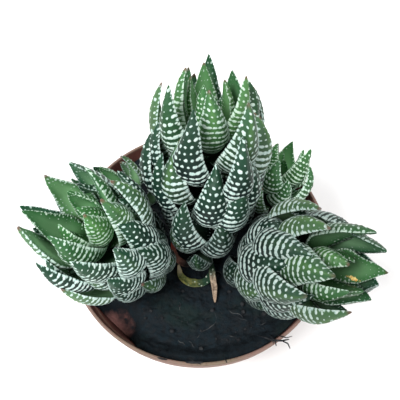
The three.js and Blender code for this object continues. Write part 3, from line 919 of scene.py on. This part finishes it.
class Look:
    """A material and short names for the nodes that its finish is worked out with."""

    def __init__(self, name):
        self.material = bpy.data.materials.new(name)
        self.material.use_nodes = True
        self.tree = self.material.node_tree
        self.shader = self.tree.nodes["Principled BSDF"]
        self.place = self.out("ShaderNodeTexCoord", output="Object")

    def link(self, source, socket):
        if isinstance(source, Value):
            self.tree.links.new(source.socket, socket)
        else:
            socket.default_value = source

    def node(self, kind, sources=None, **settings):
        """A node with its settings, and with its sockets, by number or name, fed or set."""
        node = self.tree.nodes.new(kind)
        for key, value in settings.items():
            setattr(node, key, value)
        for key, source in (sources or {}).items():
            self.link(source, node.inputs[key])
        return node

    def out(self, kind, sources=None, output=0, **settings):
        """What comes out of a new node."""
        return Value(self, self.node(kind, sources, **settings).outputs[output])

    def calc(self, operation, *inputs):
        return self.out("ShaderNodeMath", dict(enumerate(inputs)), operation=operation)

    def ease(self, value, low, high, start=0.0, end=1.0):
        """Eases from start to end as the value goes from low to high."""
        sources = dict(enumerate((value, low, high, start, end)))
        return self.out("ShaderNodeMapRange", sources, interpolation_type="SMOOTHSTEP")

    def mix(self, share, first, second):
        return self.out("ShaderNodeMix", {0: share, 2: first, 3: second}, data_type="FLOAT")

    def blend(self, share, first, second, kind="MIX"):
        sources = {0: share, 6: first, 7: second}
        return self.out("ShaderNodeMix", sources, 2, data_type="RGBA", blend_type=kind)

    def tint(self, colour, by):
        return self.blend(1.0, colour, by, "MULTIPLY")

    def mottle(self, noise, low, high, dark, light):
        """Two screen colours that ease into each other as the noise goes from low to high."""
        return self.blend(self.ease(noise, low, high), paint(*dark), paint(*light))

    def noise(self, scale, detail=3.0, roughness=0.55):
        """Noise on the object's own place, with scale in bumps a metre."""
        sources = {"Vector": self.place, "Scale": scale, "Detail": detail, "Roughness": roughness}
        return self.out("ShaderNodeTexNoise", sources, "Fac")

    def grey(self, value):
        """A colour with the same value in each channel."""
        return self.out("ShaderNodeCombineColor", {0: value, 1: value, 2: value})

    def chance(self, x, y):
        """A number from 0 to 1 drawn afresh for each pair of whole numbers."""
        pair = self.out("ShaderNodeCombineXYZ", {0: x, 1: y})
        return self.out("ShaderNodeTexWhiteNoise", {"Vector": pair}, "Value", noise_dimensions="3D")

    def vector(self, operation, first, second):
        output = "Value" if operation in ("DOT_PRODUCT", "DISTANCE") else "Vector"
        return self.out("ShaderNodeVectorMath", {0: first, 1: second}, output, operation=operation)

    def split(self, vector):
        node = self.node("ShaderNodeSeparateXYZ", {0: vector})
        return [Value(self, socket) for socket in node.outputs]

    def values(self, name):
        """The three numbers kept on the piece's points under a name."""
        return self.split(self.out("ShaderNodeAttribute", output="Vector", attribute_name=name))

    def bump(self, height, distance, strength=1.0):
        sources = {"Strength": strength, "Distance": distance, "Height": height}
        self.link(self.out("ShaderNodeBump", sources), self.shader.inputs["Normal"])

    def finish(self, colour, roughness, specular):
        self.link(colour, self.shader.inputs["Base Color"])
        self.link(roughness, self.shader.inputs["Roughness"])
        self.shader.inputs["Specular IOR Level"].default_value = specular
        return self.material


def leaf_look(name, shade, scar=None):
    """Waxy green skin with raised white bands, worked out from the values kept on each leaf, with
    a painted sheen in the middle of the upper faces and painted shade towards the roots and on the
    old low leaves. The shade is painted light and shade that makes a whole rosette lighter or
    darker for how the light falls on it, and a scar is the place of a dry yellow mark on an upper
    face."""
    look = Look(name)
    bands, across, dotted = look.values("bands")
    level, edge, upper = look.values("skin")
    t, tone, fresh = look.values("leaf")
    grain = look.noise(900, 2.0)
    cloud = look.noise(110, 2.0)

    row = look.calc("ROUND", bands)
    shifted = across + look.calc("SINE", row * ROW_TURN) * ROW_SHIFT
    dot = look.calc("ROUND", shifted)
    from_dot = (shifted - dot) * (dotted / DOT_WIDTH)
    from_band = (bands - row) / BAND_WIDTH
    pattern = 1.0 - look.calc("SQRT", from_dot * from_dot + from_band * from_band)
    uneven = (look.chance(row, dot) - 0.35) * look.mix(dotted, 0.2, 0.75)
    above = pattern - (level + uneven) + (grain - 0.5) * 0.9
    white = look.ease(above, -0.1, 0.25) * look.ease(t, 0.0, 0.1)
    teeth = look.calc("COSINE", bands * (3 * math.pi))
    rim_line = look.ease(edge, 0.88, 0.99, 0.0, 0.7) + teeth * 0.4
    rim_white = look.ease(edge, 0.87, 0.98) * look.ease(rim_line, 0.25, 0.75)
    white = look.calc("MAXIMUM", white, rim_white * look.ease(t, 0.08, 0.3))

    on_face = look.ease(upper, 0.5, 0.9)
    # The back is near black at its root and greener towards its tip: partly its own dark green, partly
    # painted shade where the leaves crowd at the root
    back = look.mottle(cloud, 0.3, 0.7, (5, 21, 23), (13, 40, 36))
    back = look.blend(look.ease(t, 0.4, 1.0, 0.0, 0.8), back, paint(40, 82, 58))
    keel = look.ease(edge, 0.5, 0.05) * look.ease(t, 0.35, 0.75)
    keel = keel * look.ease(tone, 0.35, 0.75, 0.0, 0.6)
    back = look.blend(keel, back, paint(74, 112, 60))
    # Painted sheen: the middle of each upper face is pale, for the light on its waxy hollow
    middle = (1.0 - look.ease(edge, 0.2, 0.95)) * look.ease(t, 1.0, 0.4)
    face = look.blend(middle, paint(40, 88, 62), paint(144, 190, 146))
    # Painted shade: the upper face darkens towards its root, where it lies in the gaps between crowded
    # leaves
    face = look.blend(look.ease(t, 0.08, 0.45), paint(14, 34, 26), face)
    green = look.blend(on_face, back, face)
    young = look.ease(fresh, 0.0, 1.0, 0.0, 0.5)
    green = look.blend(young, green, paint(78, 142, 70))
    green = look.blend(look.ease(tone, 0.55, 1.0, 0.0, 0.3), green, paint(106, 140, 88))
    green = look.tint(green, look.grey(tone * 0.44 + 0.6))
    chalk = look.mottle(grain, 0.3, 0.75, (158, 184, 178), (196, 211, 203))
    chalk = look.blend(young * 0.7, chalk, paint(176, 206, 160))
    skin = look.blend(white, green, chalk)
    # Painted shade: the old low leaves, where fresh is below zero, are darkened as if in the shade at each
    # rosette's foot
    painted_foot_shade = look.tint(skin, paint(70, 84, 88))
    skin = look.blend(look.ease(fresh, 0.0, -0.5, 0.0, 0.5), skin, painted_foot_shade)
    tip = look.ease(t, 0.93, 0.99) * look.ease(tone, 0.6, 0.75)
    skin = look.blend(tip * 0.85, skin, paint(98, 66, 58))
    # Painted light and shade: the whole rosette's skin made lighter or darker for how the light falls on it
    skin = look.tint(skin, (shade, shade, shade, 1.0))
    if scar:
        offset = look.vector("SUBTRACT", look.place, [c * MM for c in scar])
        along = look.vector("DOT_PRODUCT", offset, SCAR_RUN)
        square = look.vector("DOT_PRODUCT", offset, offset) - along * along * SCAR_STRETCH
        away = look.calc("SQRT", square) + look.noise(1300, 3.0) * (2 * MM)
        near = look.ease(away, SCAR_REACH * MM, 0.8 * SCAR_REACH * MM)
        dry = look.mottle(grain, 0.3, 0.6, (214, 150, 70), (240, 216, 140))
        skin = look.blend(near * on_face, skin, dry)

    look.bump(white + grain * 0.35, 0.00012, 0.6)
    return look.finish(skin, look.mix(white, 0.46, 0.7), 0.22)


def stem_look():
    """Old stem: brown and fibrous."""
    look = Look("old_stem")
    fibre = look.noise(420, 4.0)
    colour = look.mottle(fibre, 0.35, 0.65, (14, 24, 20), (40, 44, 32))
    look.bump(fibre, 0.0004)
    return look.finish(colour, 0.85, 0.2)


def withered_look(leaf):
    """A dry leaf: darker along its folds, with colours of its own at its foot and its tip. A
    share of its white dots may still show where it is green."""
    look = Look(leaf["slot"])
    foot, dark, light, tip = (paint(*colour) for colour in leaf["colours"])
    t, u, _ = look.values("strip")
    streak = look.noise(520, 4.0, 0.65)
    colour = look.blend(look.ease(streak, 0.35, 0.7), dark, light)
    colour = look.blend(look.ease(t, 0.7, 0.97), colour, tip)
    colour = look.blend(look.ease(look.calc("ABSOLUTE", u), 0.75, 1.0, 0.0, 0.5), colour, light)
    colour = look.blend(look.ease(t, 0.55, 0.25), colour, foot)
    if leaf["dots"]:
        cells = look.out("ShaderNodeTexVoronoi", {"Vector": look.place, "Scale": 620}, "Distance")
        dot = look.ease(cells, 0.34, 0.2) * look.ease(t, 0.6, 0.35)
        colour = look.blend(dot * leaf["dots"], colour, paint(196, 206, 190))
    look.bump(streak, 0.0003)
    return look.finish(colour, 0.75, 0.25)


def fibre_look():
    """Fine roots: dull grey-brown, paler here and there."""
    look = Look("root_fibre")
    colour = look.mottle(look.noise(300), 0.35, 0.65, (30, 35, 40), (72, 74, 74))
    return look.finish(colour, 0.85, 0.2)


def crumb_look():
    """Crumbs and twigs: dark bark and peat, some of it browner."""
    look = Look("peat_crumb")
    peat = look.noise(380, 4.0)
    colour = look.mottle(peat, 0.35, 0.68, (11, 14, 19), (42, 44, 46))
    look.bump(look.noise(1800), 0.0002)
    return look.finish(colour, 0.85, 0.25)


def pot_look():
    """Terracotta-coloured plastic: red-brown inside, faded outside and dusty at the rim."""
    look = Look("pot_plastic")
    x, y, z = look.split(look.place)
    radius = look.calc("SQRT", x * x + y * y)
    wall = z * ((WALL_TOP - BASE_RADIUS) / LIP_FOOT) + (BASE_RADIUS - WALL / 2) * MM
    lip = (z - POT_HEIGHT * MM) * (LIP_DRAW / LIP_HEIGHT) + (RIM_RADIUS - WALL / 2) * MM
    middle = look.mix(look.calc("GREATER_THAN", z, LIP_FOOT * MM), wall, lip)
    inside = look.calc("LESS_THAN", radius, middle)
    cloud = look.noise(60, 4.0, 0.6)
    speck = look.noise(1400, 3.0, 0.7)
    outer = look.mottle(cloud, 0.35, 0.7, (118, 87, 75), (132, 101, 88))
    inner = look.mottle(cloud, 0.35, 0.7, (92, 52, 46), (122, 76, 66))
    colour = look.blend(inside, outer, inner)
    rim = look.ease(z, (POT_HEIGHT - 1.6) * MM, (POT_HEIGHT - 0.1) * MM)
    dust = rim * look.ease(speck, 0.3, 0.62, 0.35, 1.0)
    tan = look.mottle(look.noise(24, 2.0), 0.4, 0.6, (114, 92, 84), (106, 95, 78))
    colour = look.blend(dust, colour, tan)
    soot = look.ease(look.noise(260, 5.0, 0.7), 0.58, 0.72) * rim
    colour = look.blend(soot * 0.6, colour, paint(60, 46, 42))
    look.bump(speck, 0.00008, 0.5)
    return look.finish(colour, look.mix(cloud, 0.55, 0.75), 0.35)


def soil_look():
    """Damp potting soil: near black with a blue cast, browner on its crumbs, with a patch of
    painted light in the pocket at the front left.
    """
    look = Look("potting_soil")
    lump = look.noise(340, 5.0, 0.65)
    fleck = look.noise(1500, 3.0, 0.75)
    colour = look.mottle(lump, 0.35, 0.68, (2, 9, 15), (12, 26, 33))
    moss = look.ease(look.noise(38, 3.0), 0.52, 0.68, 0.0, 0.5)
    colour = look.blend(moss, colour, paint(12, 32, 27))
    colour = look.blend(look.ease(fleck, 0.64, 0.78, 0.0, 0.5), colour, paint(64, 66, 66))
    # Painted light: a bright red-brown patch in the pocket, standing in for the lit inner wall
    away = look.vector("DISTANCE", look.place, [c * MM for c in LIT_WALL_PATCH_PLACE])
    lit_wall_patch = look.ease(away + lump * (3 * MM), LIT_WALL_PATCH_REACH * MM, 0.6 * LIT_WALL_PATCH_REACH * MM, 0.0, 0.85)
    colour = look.blend(lit_wall_patch, colour, paint(156, 108, 102))
    look.bump(lump + fleck * 0.4, 0.0009)
    return look.finish(colour, look.ease(lump, 0.3, 0.7, 0.65, 0.95), 0.25)


# Studio

def studio():
    """A plain pale floor, soft light from above and in front, and a pale surround."""
    floor_mesh = bpy.data.meshes.new("floor")
    corners = [(x * FLOOR_HALF, y * FLOOR_HALF, 0) for x, y in ((-1, -1), (1, -1), (1, 1), (-1, 1))]
    floor_mesh.from_pydata(corners, [], [(0, 1, 2, 3)])
    floor_mesh.materials.append(Look("floor").finish((0.9, 0.9, 0.9, 1), 0.9, 0.1))
    floor = linked("floor", floor_mesh)

    def lamp(name, place, size, power):
        data = bpy.data.lights.new(name, "AREA")
        data.shape = "DISK"
        data.size = size
        data.energy = power
        lamp_object = linked(name, data)
        lamp_object.location = place
        toward = LAMP_TARGET - Vector(place)
        lamp_object.rotation_mode = "QUATERNION"
        lamp_object.rotation_quaternion = toward.to_track_quat("-Z", "Y")

    lamp("key", (-0.5, -0.35, 0.95), 0.5, 15.5)
    lamp("fill", (0.7, -0.5, 0.7), 0.8, 5)
    lamp("back", (0.1, 0.8, 0.8), 0.7, 6)
    world = bpy.data.worlds.new("surround")
    world.use_nodes = True
    background = world.node_tree.nodes["Background"]
    background.inputs["Color"].default_value = (1, 1, 1, 1)
    background.inputs["Strength"].default_value = SURROUND_STRENGTH
    bpy.context.scene.world = world
    bpy.context.scene.view_settings.view_transform = "Standard"


def camera():
    data = bpy.data.cameras.new("camera")
    data.lens = CAMERA_LENS
    data.sensor_width = CAMERA_SENSOR
    data.dof.use_dof = False
    camera_object = linked("camera", data)
    camera_object.location = [c * MM for c in CAMERA_PLACE]
    camera_object.rotation_euler = (CAMERA_PITCH, 0, 0)
    bpy.context.scene.camera = camera_object


camera()
studio()
pot_piece(pot_look())
soil_piece(soil_look())
withered_points = np.concatenate([
    withered_curve(leaf["points"], np.arange(WITHERED_STEPS + 1) / WITHERED_STEPS)
    for leaf in WITHERED.values()])
bark = stem_look()
for stem_name, stem in STEMS.items():
    skin = leaf_look(stem_name + "_leaf", stem["shade"], stem.get("scar"))
    leafy_stem(stem_name, [skin, bark], withered_points)
litter_piece([fibre_look(), crumb_look()])
for leaf_name in WITHERED:
    withered_leaf(leaf_name)
